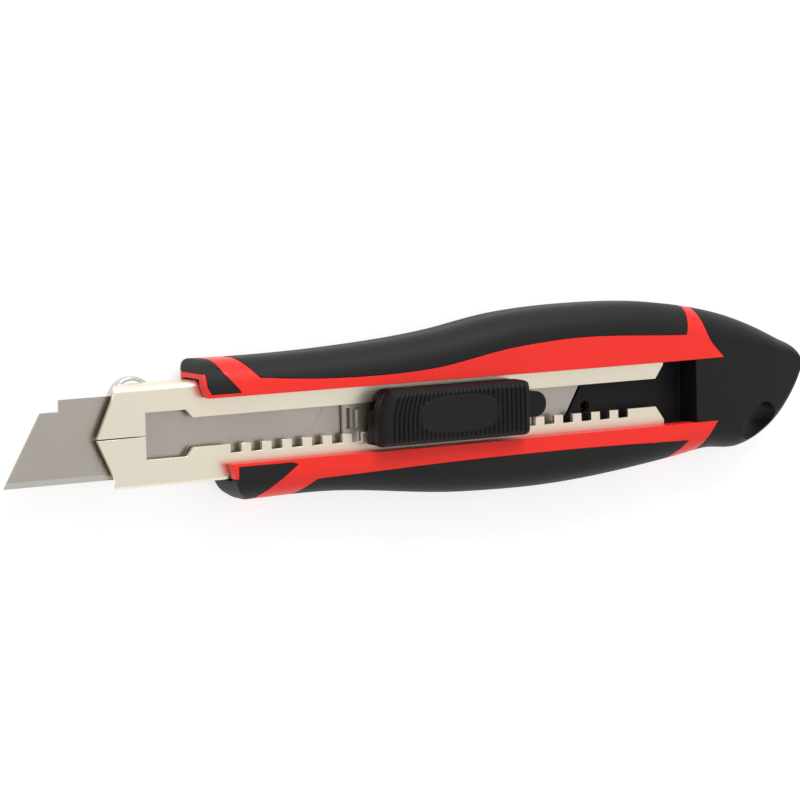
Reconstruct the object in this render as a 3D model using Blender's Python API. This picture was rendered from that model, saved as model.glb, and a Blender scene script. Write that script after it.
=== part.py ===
"""A snap-off knife: an 18 mm blade in a steel guide channel, held by a moulded handle with soft grips.

It lies on its flat back. +X runs from the blade to the handle's end, +Y to the handle's upper side, and +Z
out of the side that carries the thumb slider. The origin is on the flat back, under the middle of the handle.
"""

import math

import bpy
from mathutils import Vector
from mathutils.geometry import interpolate_bezier

MM = 0.001
GAP = 0.3 * MM  # between pieces that touch, and round each pin
THROUGH = 2.0 * MM  # how far a cutter runs past what it cuts

# Blades
BLADE_WIDTH = 18.0 * MM
BLADE_LENGTH = 100.0 * MM
BLADE_THICKNESS = 0.5 * MM
BLADE_ANGLE = math.radians(60)
BLADE_OUT = 20.8 * MM  # how far the point stands out of the nose, as shown
BEVEL_WIDTH = 1.3 * MM
EDGE_THICKNESS = 0.08 * MM
CORNER_NOTCH = (4.3 * MM, 2.5 * MM)  # along the back of the blade, and deep
BLADE_HOLE_RADIUS = 1.7 * MM
BLADE_HOLE_FROM_REAR = 6.0 * MM  # measured along the blade's middle line
BLADE_BEHIND_SLIDER = 13.8 * MM  # how far the blade's lower edge runs on under the slider

# Guide channel, a folded steel sheet
SHEET = 1.0 * MM
BLADE_SIDE_ROOM = 1.0 * MM  # between a blade's edge and the channel's side wall
BEND_RADIUS = 1.6 * MM
NOSE_OUT = 24.3 * MM  # from the handle's front to the nose's point
NOSE_POINT = 4.3 * MM  # how far the nose's point stands before its corners
NOSE_RELIEF = (0.1 * MM, 6.3 * MM)  # how far the sides recede behind the corners, at the lips and the back
SEAM = 0.25 * MM
WINDOW_FROM_NOSE = 11.5 * MM
WINDOW_LENGTH = 11.3 * MM
WINDOW_HEIGHT = 10.1 * MM
WINDOW_CHAMFER = 1.6 * MM
SLOT_HEIGHT = 6.4 * MM
SLOT_FLARE = (2.2 * MM, 3.1 * MM)  # at the rear: along the slot, and out to each side
NOTCH_PITCH = 5.0 * MM
NOTCH_WIDTH = 2.6 * MM
NOTCH_DEPTH = 1.9 * MM
FIRST_NOTCH_FROM_WINDOW = 11.5 * MM  # to the rear wall of the first notch
LAST_NOTCH_FROM_REAR = 8.0 * MM

# Magazine and blade carrier, stacked in the channel
SPARE_BLADES = 2
SPRING_THICKNESS = 0.3 * MM
SPRING_RISE = 1.0 * MM
SPRING_LENGTH = 70.0 * MM
SPRING_WIDTH = 8.0 * MM
CARRIER_THICKNESS = 0.8 * MM
CARRIER_LENGTH = 50.0 * MM
CARRIER_BEFORE_SLIDER = 5.2 * MM
CARRIER_SIDE_ROOM = 0.6 * MM  # inside each edge of the blade
TAB_HEIGHT = 1.6 * MM
TAB_WIDTH = 4.6 * MM
TAB_FROM_FRONT = 1.9 * MM
TAB_SLIT = 1.1 * MM  # on each side of the tab
PIN_RADIUS = 1.2 * MM

# Handle
HANDLE_LENGTH = 161.3 * MM  # from the upper side's front to the cap's end
CAP_DEPTH = 41.3 * MM  # from the channel's rear to the cap's end
LOWER_FRONT_SET_BACK = 7.0 * MM
FLOOR = 4.2 * MM  # behind the channel
RAIL = 2.8 * MM  # over the channel's lips
RAIL_OPENING = 14.6 * MM
BACK_ROUND = 5.0 * MM
FRONT_ROUND = 6.3 * MM
FRONT_FACE_ROUND = 4.5 * MM  # on the back edge of the two front faces
TIP_LENGTH = 22.0 * MM  # over this length the rounding grows tighter towards the pointed end
TIP_ROUND = 0.3  # of the rounding elsewhere
BELLY_CROWN = 1.2 * MM
BELLY_FROM_END = 64.0 * MM
END_DROP = 3.5 * MM
FRONT_WALL = 4.2 * MM  # from the channel's side to the handle's side, at the front
UPPER_BELLY_WALL = 10.6 * MM
LOWER_BELLY_WALL = 7.9 * MM
GRIP_THICKNESS = 1.8 * MM
GRIP_RIM = 0.7 * MM  # of plastic left round each front grip

# End cap
STEP_BEHIND_CHANNEL = 6.6 * MM
PLUG_LENGTH = 4.0 * MM
UPPER_TIP_BEHIND_CHANNEL = 14.9 * MM
LOWER_TIP_BEHIND_CHANNEL = 12.8 * MM
TONGUE_LENGTH = 27.5 * MM
TONGUE_HEIGHT = 16.5 * MM
TONGUE_HOLE_RADIUS = 1.25 * MM
TONGUE_HOLE = (7.8 * MM, -2.2 * MM)  # from the tongue's front, and off the middle line
LANYARD_HOLE = (10.9 * MM, 5.7 * MM)
LANYARD_FROM_END = (16.1 * MM, -8.4 * MM)
LANYARD_TILT = math.radians(34)

# Slider
SLIDER_LENGTH = 38.4 * MM
SLIDER_SIDE_ROOM = 1.0 * MM  # to each rail
SLIDER_BASE = 3.0 * MM
THUMB_HEIGHT = 4.8 * MM
THUMB_ROUND = 1.1 * MM
LUG_BEHIND_SLIDER = 7.4 * MM
SLIDER_SWEEP = (4.6 * MM, 8.2 * MM)  # its upper front corner: along the slider, and across it
SLIDER_CORNERS = (1.2 * MM, 2.2 * MM)  # its lower front corner, and the two at the rear
SLIDER_PINS = (0.57, 0.9)  # along the slider, as shares of its length
RIB_PITCH = 1.2 * MM
RIB_GROOVE = (0.5 * MM, 0.5 * MM)  # wide and deep
PANEL_LENGTH = 15.0 * MM
PANEL_EDGE = 1.9 * MM
PAWL_WIDTH = 3.4 * MM
PAWL_THICKNESS = 1.4 * MM
PAWL_SPRING_THICKNESS = 0.35 * MM
PAWL_SPRING_LENGTH = 15.0 * MM
PAWL_FROM_SLIDER = 3.0 * MM  # roughly: it takes the nearest notch
PAWL_BACK = 0.3 * MM  # the plate's edge on the spring's side
PAWL_PLATE_LAP = 0.1 * MM  # the plate stands past its tooth

# Nose ring and rivets
RING_RADIUS = 5.25 * MM
RING_WALL = 0.9 * MM
RING_HEIGHT = 2.4 * MM
RING_FOOT_HALF = 3.2 * MM
RING_FROM_NOSE = 12.3 * MM
RING_OVER_CHANNEL = 1.25 * MM  # how far it stands past the channel's upper side
RING_RIVET_UNDER_RING = 3.0 * MM  # from the ring's outer edge to the rivet's middle
RING_RIVET_HEAD = 2.4 * MM
RIVET_RADIUS = 1.5 * MM
RIVET_HEAD = (3.0 * MM, 1.2 * MM)  # radius and height
RIVET_HEAD_RECESS = 0.6 * MM
EDGE_BREAK = 0.4 * MM  # on a rivet's head and the slider's back
CHANNEL_RIVETS = (15.0 * MM, 105.0 * MM)  # from the handle's front

# Smoothness of round stretches
ROUND_STEPS = 5
BEND_STEPS = 3
PIN_SIDES = 20

# Places that follow from the sizes
HANDLE_FRONT = -HANDLE_LENGTH / 2
HANDLE_END = HANDLE_LENGTH / 2
NOSE = HANDLE_FRONT - NOSE_OUT
NOSE_CORNER = NOSE + NOSE_POINT
CHANNEL_REAR = HANDLE_END - CAP_DEPTH
CHANNEL_HALF = BLADE_WIDTH / 2 + BLADE_SIDE_ROOM + SHEET
WINDOW_FRONT = NOSE + WINDOW_FROM_NOSE
WINDOW_REAR = WINDOW_FRONT + WINDOW_LENGTH
FIRST_NOTCH = WINDOW_REAR + FIRST_NOTCH_FROM_WINDOW
BLADE_TIP = NOSE - BLADE_OUT
BLADE_SLANT = BLADE_WIDTH / math.tan(BLADE_ANGLE)

CHANNEL_BACK = FLOOR + GAP
MAGAZINE = CHANNEL_BACK + SHEET + GAP
SPARES = MAGAZINE + SPRING_RISE + SPRING_THICKNESS + GAP
SPARE_STEP = BLADE_THICKNESS + GAP
BLADE_BACK = SPARES + SPARE_BLADES * SPARE_STEP
CARRIER_BACK = BLADE_BACK + BLADE_THICKNESS + GAP
LIP_BACK = CARRIER_BACK + CARRIER_THICKNESS + GAP
LIP_FRONT = LIP_BACK + SHEET
RAIL_BACK = LIP_FRONT + GAP
RAIL_FRONT = RAIL_BACK + RAIL

SLIDER_FRONT = BLADE_TIP + BLADE_LENGTH - BLADE_BEHIND_SLIDER
SLIDER_REAR = SLIDER_FRONT + SLIDER_LENGTH
SLIDER_WIDTH = RAIL_OPENING - 2 * SLIDER_SIDE_ROOM
CARRIER_FRONT = SLIDER_FRONT - CARRIER_BEFORE_SLIDER
BLADE_HOLE = (BLADE_TIP + BLADE_LENGTH + BLADE_SLANT / 2 - BLADE_HOLE_FROM_REAR, 0.0)
THUMB_BACK = RAIL_BACK + SLIDER_BASE + GAP
PAWL_NOTCH = round((SLIDER_FRONT + PAWL_FROM_SLIDER - FIRST_NOTCH) / NOTCH_PITCH)
PAWL = FIRST_NOTCH + PAWL_NOTCH * NOTCH_PITCH - NOTCH_WIDTH / 2
RING_X = NOSE + RING_FROM_NOSE
RING_Y = CHANNEL_HALF + RING_OVER_CHANNEL - RING_RADIUS
RING_RIVET_Y = RING_Y - RING_RADIUS - RING_RIVET_UNDER_RING
SPARE_END = CHANNEL_REAR - TONGUE_LENGTH - 2 * GAP  # at the blade's lower edge
KEY_HALF = SLOT_HEIGHT / 2 - GAP
TOOTH_END = -SLOT_HEIGHT / 2 - NOTCH_DEPTH + GAP
RAIL_HALF = RAIL_OPENING / 2
WALL = CHANNEL_HALF + FRONT_WALL
OUTSIDE = CHANNEL_HALF + UPPER_BELLY_WALL + THROUGH  # past the handle's widest side
ABOVE = RAIL_FRONT + BELLY_CROWN + THROUGH  # over the handle's highest point


def clear_scene():
    for thing in list(bpy.data.objects):
        bpy.data.objects.remove(thing, do_unlink=True)


def finish(name, colour, roughness, metallic=0.0):
    """A material of one colour, in linear values."""
    material = bpy.data.materials.new(name)
    material.use_nodes = True
    shader = material.node_tree.nodes["Principled BSDF"]
    shader.inputs["Base Color"].default_value = (*colour, 1.0)
    shader.inputs["Roughness"].default_value = roughness
    shader.inputs["Metallic"].default_value = metallic
    material.diffuse_color = (*colour, 1.0)
    return material


def solid(name, points, faces):
    """An object of the given corners and faces, which becomes a part or a cutter."""
    mesh = bpy.data.meshes.new(name)
    mesh.from_pydata([tuple(point) for point in points], [], faces)
    mesh.shade_smooth()
    mesh.set_sharp_from_angle(angle=math.radians(35))
    made = bpy.data.objects.new(name, mesh)
    bpy.context.scene.collection.objects.link(made)
    return made


def cutter(made):
    made.hide_render = True
    made.display_type = "WIRE"
    return made


def boolean(target, tool, operation="DIFFERENCE"):
    change = target.modifiers.new(tool.name, "BOOLEAN")
    change.operation = operation
    change.solver = "EXACT"
    change.object = cutter(tool)
    return target


def stack(name, rings, strips=False):
    """A solid through rings of equal length, each anticlockwise from +Z, with the lowest first."""
    count = len(rings[0])
    points = [point for ring in rings for point in ring]
    faces = []
    for level in range(len(rings) - 1):
        low = level * count
        for i in range(count):
            j = (i + 1) % count
            faces.append((low + i, low + j, low + count + j, low + count + i))
    top = len(points) - count
    if strips:
        for i in range((count - 1) // 2):
            across = [i, i + 1, count - 2 - i, count - 1 - i]
            across = list(dict.fromkeys(across))
            faces.append([top + k for k in across])
            faces.append([k for k in reversed(across)])
    else:
        faces.append([top + i for i in range(count)])
        faces.append([count - 1 - i for i in range(count)])
    return solid(name, points, faces)


def prism(name, outline, z_low, z_high):
    return stack(name, [[(x, y, z) for x, y in outline] for z in (z_low, z_high)])


def box(name, x_low, x_high, y_low, y_high, z_low, z_high):
    outline = [(x_low, y_low), (x_high, y_low), (x_high, y_high), (x_low, y_high)]
    return prism(name, outline, z_low, z_high)


def circle(x, y, radius, sides=PIN_SIDES):
    turns = [2 * math.pi * (i + 0.5) / sides for i in range(sides)]
    return [(x + radius * math.cos(turn), y + radius * math.sin(turn)) for turn in turns]


def pin(name, x, y, levels):
    """A turned pin from (radius, z) pairs, lowest first."""
    return stack(name, [[(px, py, z) for px, py in circle(x, y, radius)] for radius, z in levels])


def rounded(corners, radius, steps=4):
    """A closed outline with every corner rounded."""
    outline = []
    for i, corner in enumerate(corners):
        corner = Vector(corner)
        back = (Vector(corners[i - 1]) - corner).normalized()
        on = (Vector(corners[(i + 1) % len(corners)]) - corner).normalized()
        reach = radius / math.tan(back.angle(on) / 2)
        centre = corner + (back + on).normalized() * radius / math.sin(back.angle(on) / 2)
        start = corner + back * reach - centre
        turn = start.angle_signed(corner + on * reach - centre)
        for step in range(steps + 1):
            angle = math.atan2(start.y, start.x) - turn * step / steps
            outline.append((centre.x + radius * math.cos(angle), centre.y + radius * math.sin(angle)))
    return outline


def smooth(knots, steps):
    """A smooth open path through the knots."""
    knots = [Vector(knot) for knot in knots]
    slopes = []
    for i, knot in enumerate(knots):
        before = knots[max(i - 1, 0)]
        after = knots[min(i + 1, len(knots) - 1)]
        near, far = (knot - before).length, (after - knot).length
        if near == 0 or far == 0:
            slopes.append((after - before).normalized())
        else:
            slope = (knot - before) / near * far + (after - knot) / far * near
            slopes.append(slope / (near + far))
    path = [knots[0]]
    for one, two, leave, arrive in zip(knots, knots[1:], slopes, slopes[1:]):
        third = (two - one).length / 3
        handles = [one, one + leave * third, two - arrive * third, two]
        span = interpolate_bezier(*[handle.to_3d() for handle in handles], steps + 1)
        path += [point.to_2d() for point in span[1:]]
    return path


def inset(outline, distance):
    """A closed anticlockwise outline moved inwards."""
    moved = []
    outline = [Vector(point) for point in outline]
    for i, point in enumerate(outline):
        one = (point - outline[i - 1]).normalized()
        two = (outline[(i + 1) % len(outline)] - point).normalized()
        inward = Vector((-one.y - two.y, one.x + two.x)).normalized()
        moved.append(point + inward * distance / inward.dot(Vector((-one.y, one.x))))
    return moved


def crown(x):
    """How far the handle's front stands above its height at the front end."""
    belly = HANDLE_END - BELLY_FROM_END
    if x < belly:
        share = (x - HANDLE_FRONT) / (belly - HANDLE_FRONT)
        return BELLY_CROWN * (1 - math.cos(math.pi * max(share, 0))) / 2
    share = (x - belly) / (HANDLE_END - belly)
    return BELLY_CROWN - (BELLY_CROWN + END_DROP) * share**3


def draw_in(outline, distance):
    """The handle's outline moved inwards, less towards its pointed end; its open front stays in place."""
    drawn = []
    for point, moved in zip(outline, inset(outline, distance)):
        near = min(max((point[0] - HANDLE_END + TIP_LENGTH) / TIP_LENGTH, 0), 1)
        drawn.append(Vector(point).lerp(moved, 1 - (1 - TIP_ROUND) * near))
    drawn[0].x, drawn[-1].x = outline[0][0], outline[-1][0]
    return drawn


def pillow(name, outline, z_back, z_front, back_round, front_round, lift=None, inwards=inset):
    """A solid of one outline with rounded back and front edges; lift raises its front at each x."""
    rings = []
    for step in range(ROUND_STEPS + 1):
        turn = math.pi / 2 * step / ROUND_STEPS
        edge = inwards(outline, back_round * (1 - math.sin(turn)))
        rings.append([(x, y, z_back + back_round * (1 - math.cos(turn))) for x, y in edge])
    for step in range(ROUND_STEPS + 1):
        turn = math.pi / 2 * step / ROUND_STEPS
        edge = inwards(outline, front_round * (1 - math.cos(turn)))
        z = z_front - front_round * (1 - math.sin(turn))
        rings.append([(x, y, z + (lift(x) if lift else 0)) for x, y in edge])
    return stack(name, rings, strips=lift is not None)


def handle_outline():
    """The handle and cap from above, from the lower front corner round the end to the upper one."""
    side, front, end = CHANNEL_HALF, HANDLE_FRONT, HANDLE_END
    upper = side + UPPER_BELLY_WALL
    lower = side + LOWER_BELLY_WALL
    knots = [
        (front - 8 * MM, -WALL - 1.3 * MM),
        (front + 14 * MM, -WALL - 0.7 * MM),
        (front + 30 * MM, -WALL - 0.5 * MM),
        (end - 96 * MM, -lower + 0.2 * MM),
        (end - 74 * MM, -lower),
        (end - 39 * MM, -lower + 3.4 * MM),
        (end - 28.9 * MM, -lower + 4.8 * MM),
        (end - 19.5 * MM, -lower + 4.5 * MM),
        (end - 10.2 * MM, -lower + 8.7 * MM),
        (end - 4.5 * MM, -lower + 14.6 * MM),
        (end - 1.2 * MM, 1.2 * MM),
        (end, 4.2 * MM),
        (end - 1.7 * MM, upper - 14.3 * MM),
        (end - 7.8 * MM, upper - 11.0 * MM),
        (end - 21 * MM, upper - 5.5 * MM),
        (end - 39 * MM, upper - 1.4 * MM),
        (end - BELLY_FROM_END, upper),
        (end - 84 * MM, upper - 1.0 * MM),
        (end - 102 * MM, upper - 3.9 * MM),
        (front + 32 * MM, WALL + 0.4 * MM),
        (front + 10 * MM, WALL),
        (front - 8 * MM, WALL + 0.4 * MM),
    ]
    return smooth(knots, 4)


def handle_form(name, depth=0.0):
    """The outer form of handle and cap together, or the same form set in by a depth on every side."""
    outline = draw_in(handle_outline(), depth)
    rounds = BACK_ROUND - depth, FRONT_ROUND - depth
    return pillow(name, outline, depth, RAIL_FRONT - depth, *rounds, crown, draw_in)


def cap_boundary(clearance):
    """What the cap takes of the handle form: it leaves the two pointed rails, which run back into it."""
    upper_tip = CHANNEL_REAR + UPPER_TIP_BEHIND_CHANNEL + clearance
    lower_tip = CHANNEL_REAR + LOWER_TIP_BEHIND_CHANNEL + clearance
    plug = CHANNEL_REAR + PLUG_LENGTH + GAP + clearance
    half = RAIL_HALF - clearance
    far = HANDLE_END + THROUGH
    upper = smooth([
        (upper_tip - 7.2 * MM, OUTSIDE),
        (upper_tip - 6.6 * MM, half + 12 * MM),
        (upper_tip - 4.2 * MM, half + 4.6 * MM),
        (upper_tip, half),
    ], 3)
    lower = smooth([
        (lower_tip, -half),
        (lower_tip - 1.4 * MM, -half - 2.0 * MM),
        (lower_tip - 3.9 * MM, -half - 6.2 * MM),
        (lower_tip - 12 * MM, -OUTSIDE),
    ], 3)
    return [(far, -OUTSIDE), (far, OUTSIDE), *upper, (plug, half), (plug, -half), *lower]


def front_boundary():
    """What is cut away before the handle: the lower side starts further back than the upper one."""
    lower = HANDLE_FRONT + LOWER_FRONT_SET_BACK
    side = CHANNEL_HALF
    far = NOSE - THROUGH
    corner = smooth([
        (lower + 0.4 * MM, -side - 1.0 * MM),
        (lower + 1.4 * MM, -side - 2.6 * MM),
        (lower + 5.0 * MM, -WALL - 1.0 * MM),
    ], 3)
    return [
        (far, WALL + 4 * MM), (far, -WALL - 4 * MM), (lower + 7 * MM, -WALL - 4 * MM), *reversed(corner),
        (lower, -side + 1 * MM), (HANDLE_FRONT, RAIL_HALF + 2.7 * MM), (HANDLE_FRONT, WALL - 1.6 * MM),
        (HANDLE_FRONT + 0.5 * MM, WALL - 0.5 * MM), (HANDLE_FRONT + 2 * MM, WALL + 0.6 * MM),
        (HANDLE_FRONT + 2 * MM, WALL + 4 * MM),
    ]


def front_cutter(name, behind=0.0):
    """Cuts away what lies before the handle, or a depth behind its front; the faces' back edge is round."""
    levels = [(-THROUGH, FRONT_FACE_ROUND)]
    for step in range(ROUND_STEPS + 1):
        turn = math.pi / 2 * step / ROUND_STEPS
        levels.append((FRONT_FACE_ROUND * (1 - math.cos(turn)), FRONT_FACE_ROUND * (1 - math.sin(turn))))
    levels.append((ABOVE, 0.0))
    return stack(name, [[(x + behind + back, y, z) for x, y in front_boundary()] for z, back in levels])


def upper_grip_region():
    """The long upper grip from above; its front and rear ends slant."""
    front, end, half = HANDLE_FRONT, HANDLE_END, RAIL_HALF
    inner = smooth([
        (front + 13.7 * MM, half + 3.6 * MM),
        (front + 23 * MM, half + 2.8 * MM),
        (front + 36 * MM, half + 2.2 * MM),
        (end - 104.6 * MM, half + 2.8 * MM),
        (end - 83.6 * MM, half + 6.1 * MM),
        (end - 70 * MM, half + 7.1 * MM),
        (end - 37.2 * MM, half + 5.9 * MM),
    ], 4)
    return [
        *inner, (end - 35.6 * MM, half + 12.7 * MM), (end - 35.4 * MM, OUTSIDE), (front + 7.5 * MM, OUTSIDE),
        (front + 9.5 * MM, WALL + 0.2 * MM),
    ]


def lower_grip_region():
    """The long lower grip from above."""
    front, end, half = HANDLE_FRONT, HANDLE_END, RAIL_HALF
    inner = smooth([
        (end - 36.8 * MM, -half - 4.0 * MM),
        (end - 60 * MM, -half - 3.5 * MM),
        (end - 97 * MM, -half - 3.7 * MM),
        (front + 27.2 * MM, -half - 4.9 * MM),
    ], 4)
    return [
        *inner, (front + 22.4 * MM, -WALL - 0.5 * MM), (front + 20.0 * MM, -OUTSIDE),
        (end - 49.5 * MM, -OUTSIDE),
    ]


def nose_grip_regions():
    """The two short grips at the front, which meet the rails' edges and end on a slant."""
    front, half, rim = HANDLE_FRONT, RAIL_HALF, GRIP_RIM
    lower = front + LOWER_FRONT_SET_BACK
    out = WALL + 6 * MM
    upper_outline = [
        (front + rim, half + 5.2 * MM), (front + rim, half + 2.4 * MM), (front + 1.7 * MM, half + rim),
        (front + 9.0 * MM, half + rim), (front + 5.2 * MM, half + 5.0 * MM), (front + 3.4 * MM, WALL + rim),
        (front + 1.5 * MM, out), (front - 9 * MM, out), (front - 6 * MM, half + 5.2 * MM),
    ]
    lower_outline = [
        (lower + rim, -half - rim), (lower + rim, -half - 3.4 * MM), (lower - 4 * MM, -half - 4.2 * MM),
        (lower - 4 * MM, -out), (lower + 3.5 * MM, -out), (lower + 6.8 * MM, -WALL + 0.4 * MM),
        (lower + 15.2 * MM, -half - 1.2 * MM), (lower + 13.8 * MM, -half - rim),
    ]
    return {"grip_nose_upper": upper_outline, "grip_nose_lower": lower_outline}


def grip_regions():
    return {"grip_upper": upper_grip_region(), "grip_lower": lower_grip_region(), **nose_grip_regions()}


def grip_bed(name, depth):
    """What lies a depth under a grip: the nose grips also wrap the handle's two front faces."""
    bed = handle_form(name, depth)
    if "nose" in name:
        boolean(bed, front_cutter(name + "_face", depth))
    return bed


def trough(name):
    """The room for the channel, from the nose to the handle's end."""
    side = CHANNEL_HALF + GAP
    return box(name, NOSE, HANDLE_END, -side, side, FLOOR, RAIL_BACK)


def make_grips(rubber):
    """Soft grips: each is a skin of the handle's form, moulded into a pocket of the core."""
    for name, region in grip_regions().items():
        grip = prism(name, region, -THROUGH, ABOVE)
        boolean(grip, handle_form(name + "_form"), "INTERSECT")
        boolean(grip, grip_bed(name + "_inner", GRIP_THICKNESS))
        boolean(grip, front_cutter(name + "_front"))
        boolean(grip, trough(name + "_trough"))
        grip.data.materials.append(rubber)


def make_core(plastic):
    """The stiff handle: a trough for the channel, with a rail over each of the channel's edges."""
    core = handle_form("handle_core")
    boolean(core, front_cutter("core_front"))
    boolean(core, prism("core_rear", cap_boundary(0.0), -THROUGH, ABOVE))
    boolean(core, trough("core_trough"))
    boolean(core, box("core_opening", NOSE, HANDLE_END, -RAIL_HALF, RAIL_HALF, RAIL_BACK - GAP, ABOVE))
    for name, region in grip_regions().items():
        pocket = prism(name + "_pocket", inset(region, -GAP), -THROUGH, ABOVE)
        boolean(pocket, grip_bed(name + "_pocket_floor", GRIP_THICKNESS + GAP))
        boolean(core, pocket)
    for i, place in enumerate(CHANNEL_RIVETS):
        boolean(core, rivet_hole(f"core_rivet_{i}", HANDLE_FRONT + place, 0.0, -THROUGH))
    core.data.materials.append(plastic)


def rivet_hole(name, x, y, z_low):
    """A stepped hole for a rivet whose head is let into the handle's back."""
    head = RIVET_HEAD[0] + GAP
    shoulder = RIVET_HEAD_RECESS + RIVET_HEAD[1] + GAP
    shank = RIVET_RADIUS + GAP
    top = CHANNEL_BACK + SHEET + GAP / 2
    return pin(name, x, y, [(head, z_low), (head, shoulder), (shank, shoulder), (shank, top)])


def make_channel_rivets(steel):
    for name, place in zip(("channel_rivet_front", "channel_rivet_rear"), CHANNEL_RIVETS):
        head, height = RIVET_HEAD
        low = RIVET_HEAD_RECESS
        levels = [
            (head - EDGE_BREAK, low), (head, low + EDGE_BREAK), (head, low + height),
            (RIVET_RADIUS, low + height), (RIVET_RADIUS, CHANNEL_BACK + SHEET - 0.1 * MM),
        ]
        pin(name, HANDLE_FRONT + place, 0.0, levels).data.materials.append(steel)


def channel_section():
    """The folded sheet across X, anticlockwise seen from +X, from one lip round the back to the other."""
    def bends(half, low, high, radius):
        corners = ((half, high, 0), (half, low, -1), (-half, low, -2), (-half, high, -3))
        for y, z, quarter in corners:
            cy = y - math.copysign(radius, y)
            cz = z - radius if z == high else z + radius
            for step in range(BEND_STEPS + 1):
                angle = math.pi / 2 * (1 + quarter) - math.pi / 2 * step / BEND_STEPS
                yield cy + radius * math.cos(angle), cz + radius * math.sin(angle)
    lip = SEAM / 2
    outer = list(bends(CHANNEL_HALF, CHANNEL_BACK, LIP_FRONT, BEND_RADIUS))
    inner = list(bends(CHANNEL_HALF - SHEET, CHANNEL_BACK + SHEET, LIP_BACK, BEND_RADIUS - SHEET))
    loop = [(lip, LIP_FRONT), *outer, (-lip, LIP_FRONT), (-lip, LIP_BACK), *reversed(inner), (lip, LIP_BACK)]
    return loop


def slot_outline():
    """The window, the slot with its row of notches, and the flare at the rear, anticlockwise."""
    half, window = SLOT_HEIGHT / 2, WINDOW_HEIGHT / 2
    flare_x, flare_y = SLOT_FLARE
    rear = CHANNEL_REAR
    outline = [(WINDOW_FRONT, -window), (WINDOW_REAR - WINDOW_CHAMFER, -window), (WINDOW_REAR, -half)]
    count = int((rear - LAST_NOTCH_FROM_REAR - FIRST_NOTCH) / NOTCH_PITCH) + 1
    for i in range(count):
        wall = FIRST_NOTCH + i * NOTCH_PITCH
        deep = -half - NOTCH_DEPTH
        outline += [(wall - NOTCH_WIDTH, -half), (wall - NOTCH_WIDTH, deep), (wall, deep), (wall, -half)]
    outline += [
        (rear - flare_x, -half), (rear, -half - flare_y), (rear + THROUGH, -half - flare_y),
        (rear + THROUGH, half + flare_y), (rear, half + flare_y), (rear - flare_x, half),
        (WINDOW_REAR, half), (WINDOW_REAR - WINDOW_CHAMFER, window), (WINDOW_FRONT, window),
    ]
    return outline


def make_channel(steel):
    """The guide channel: a sheet folded into a C, its nose cut to a point, its lips cut for the slider."""
    section = channel_section()
    rings = [[(x, y, z) for y, z in section] for x in (NOSE, CHANNEL_REAR)]
    count = len(section)
    faces = [(i, count + i, count + (i + 1) % count, (i + 1) % count) for i in range(count)]
    faces += [list(range(count)), [2 * count - 1 - i for i in range(count)]]
    channel = solid("guide_channel", [point for ring in rings for point in ring], faces)
    flat = CHANNEL_HALF - BEND_RADIUS
    outside = CHANNEL_HALF + THROUGH
    for side in (1, -1):
        corners = [
            (NOSE - THROUGH, 0.0), (NOSE - GAP / 10, 0.0), (NOSE_CORNER, flat), (NOSE_CORNER, outside),
            (NOSE - THROUGH, outside),
        ]
        corners = [(x, side * y) for x, y in corners][::side]
        boolean(channel, prism(f"nose_cut_{side}", corners, 0.0, RAIL_FRONT))
    boolean(channel, nose_relief())
    boolean(channel, prism("slot_cut", slot_outline(), LIP_BACK - GAP / 2, LIP_FRONT + THROUGH))
    holes = [(HANDLE_FRONT + place, 0.0) for place in CHANNEL_RIVETS] + [(RING_X, RING_RIVET_Y)]
    shank = RIVET_RADIUS + GAP
    levels = [(shank, CHANNEL_BACK - GAP / 2), (shank, CHANNEL_BACK + SHEET + GAP / 2)]
    for i, (x, y) in enumerate(holes):
        boolean(channel, pin(f"channel_hole_{i}", x, y, levels))
    channel.data.materials.append(steel)


def nose_relief():
    """Cuts the channel's sides and back away behind the nose's lips, on a slant."""
    wide, high, low = CHANNEL_HALF + THROUGH, LIP_BACK - GAP / 2, CHANNEL_BACK - GAP
    at_lips, at_back = (NOSE_CORNER + recede for recede in NOSE_RELIEF)
    corners = [(NOSE - THROUGH, high), (NOSE - THROUGH, low), (at_back, low), (at_lips, high)]
    points = [(x, y, z) for y in (-wide, wide) for x, z in corners]
    sides = [(i, (i + 3) % 4, 4 + (i + 3) % 4, 4 + i) for i in range(4)]
    return solid("nose_relief", points, [(0, 1, 2, 3), (7, 6, 5, 4), *sides])


def make_nose_ring(steel):
    """A thin steel ring behind the nose, on a flat foot that is riveted to the channel's back."""
    x, y = RING_X, RING_Y
    high = CHANNEL_BACK - GAP
    low = high - RING_HEIGHT
    ring = prism("nose_ring", circle(x, y, RING_RADIUS, 40), low, high)
    boolean(ring, prism("ring_bore", circle(x, y, RING_RADIUS - RING_WALL, 40), low - THROUGH, high + THROUGH))
    half, foot_low = RING_FOOT_HALF, RING_RIVET_Y - RING_FOOT_HALF
    join = y - RING_RADIUS + 1.5 * RING_WALL
    corners = [(x - half, foot_low), (x + half, foot_low), (x + half, join), (x - half, join)]
    foot = prism("ring_foot", rounded(corners, RING_WALL, 3), high - RING_WALL, high)
    boolean(foot, prism("ring_foot_bore", circle(x, y, RING_RADIUS - RING_WALL, 40), low, high + THROUGH))
    boolean(ring, foot, "UNION")
    shank = RIVET_RADIUS + GAP
    boolean(ring, pin("ring_rivet_hole", x, RING_RIVET_Y, [(shank, low - THROUGH), (shank, high + THROUGH)]))
    ring.data.materials.append(steel)
    head = RING_RIVET_HEAD
    under = high - RING_WALL - GAP
    levels = [
        (head - EDGE_BREAK, under - 2 * EDGE_BREAK), (head, under - EDGE_BREAK), (head, under),
        (RIVET_RADIUS, under), (RIVET_RADIUS, CHANNEL_BACK + SHEET - 0.1 * MM),
    ]
    pin("nose_ring_rivet", x, RING_RIVET_Y, levels).data.materials.append(steel)


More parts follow.
